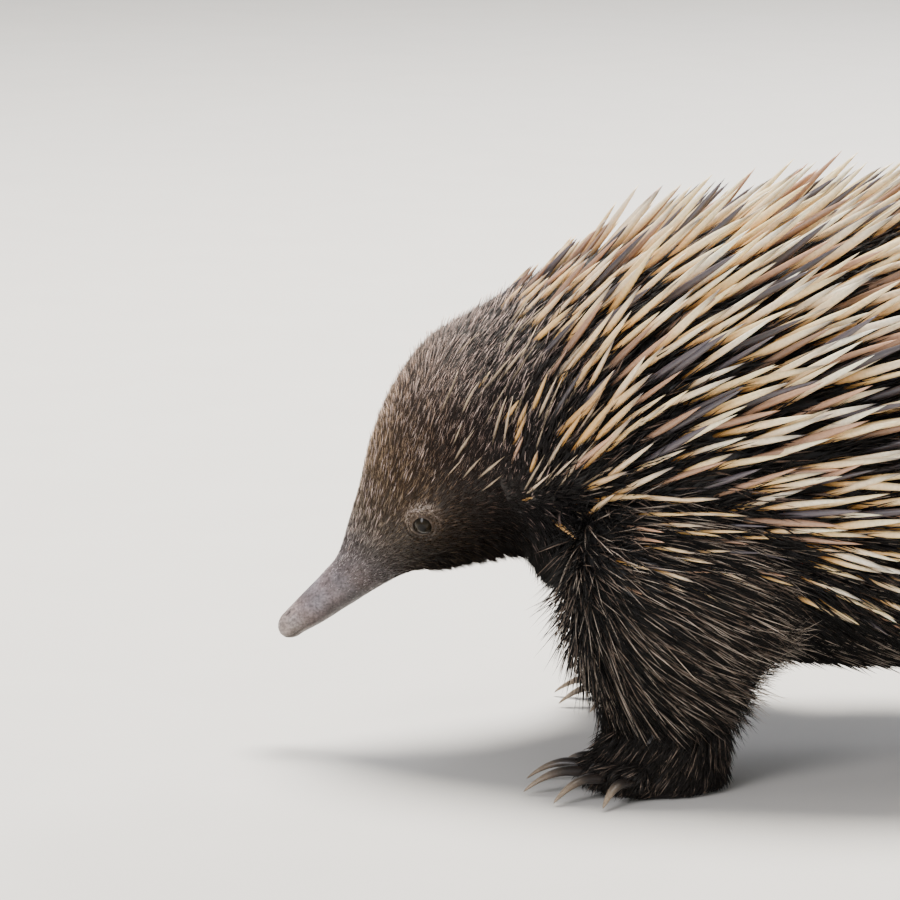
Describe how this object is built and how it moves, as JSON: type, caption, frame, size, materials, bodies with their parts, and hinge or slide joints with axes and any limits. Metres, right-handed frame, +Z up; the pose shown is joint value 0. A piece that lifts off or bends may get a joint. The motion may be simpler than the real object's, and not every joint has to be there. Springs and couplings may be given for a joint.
{
  "type": "short-beaked echidna",
  "caption": "Life-size museum model of a walking echidna with a low slender beak, spiny back, digging claws and stubby tail.",
  "frame": {"origin": "on the floor, under the middle of the whole animal's box", "axes": "+Z up, -X is the way the animal faces, -Y is its left side"},
  "size_m": [0.4306, 0.2734, 0.2189],
  "materials": {
    "skin": "bare dark grey-brown skin, finely creased, with a low sheen",
    "fur": "dense short brown-black fur with pale tips",
    "spines": "smooth cream to yellow spines with orange-brown roots and some dark tips, over black fur",
    "eye": "glossy near-black eye",
    "horn": "dark grey-brown claw horn, paler and worn at the tips"
  },
  "bodies": {
    "root": {"beak": "skin", "head": "fur", "neck": "fur", "torso": "spines", "tail": "spines", "eye_left": "eye", "eye_right": "eye", "foreleg_left": "fur", "foreleg_right": "fur", "hindleg_left": "fur", "hindleg_right": "fur", "forefoot_left": "skin", "forefoot_right": "skin", "hindfoot_left": "skin", "hindfoot_right": "skin", "claw_fore_left_1": "horn", "claw_fore_left_2": "horn", "claw_fore_left_3": "horn", "claw_fore_left_4": "horn", "claw_fore_left_5": "horn", "claw_fore_right_1": "horn", "claw_fore_right_2": "horn", "claw_fore_right_3": "horn", "claw_fore_right_4": "horn", "claw_fore_right_5": "horn", "claw_hind_left_1": "horn", "claw_hind_left_2": "horn", "claw_hind_left_3": "horn", "claw_hind_left_4": "horn", "claw_hind_left_5": "horn", "claw_hind_right_1": "horn", "claw_hind_right_2": "horn", "claw_hind_right_3": "horn", "claw_hind_right_4": "horn", "claw_hind_right_5": "horn"}
  },
  "joints": []
}
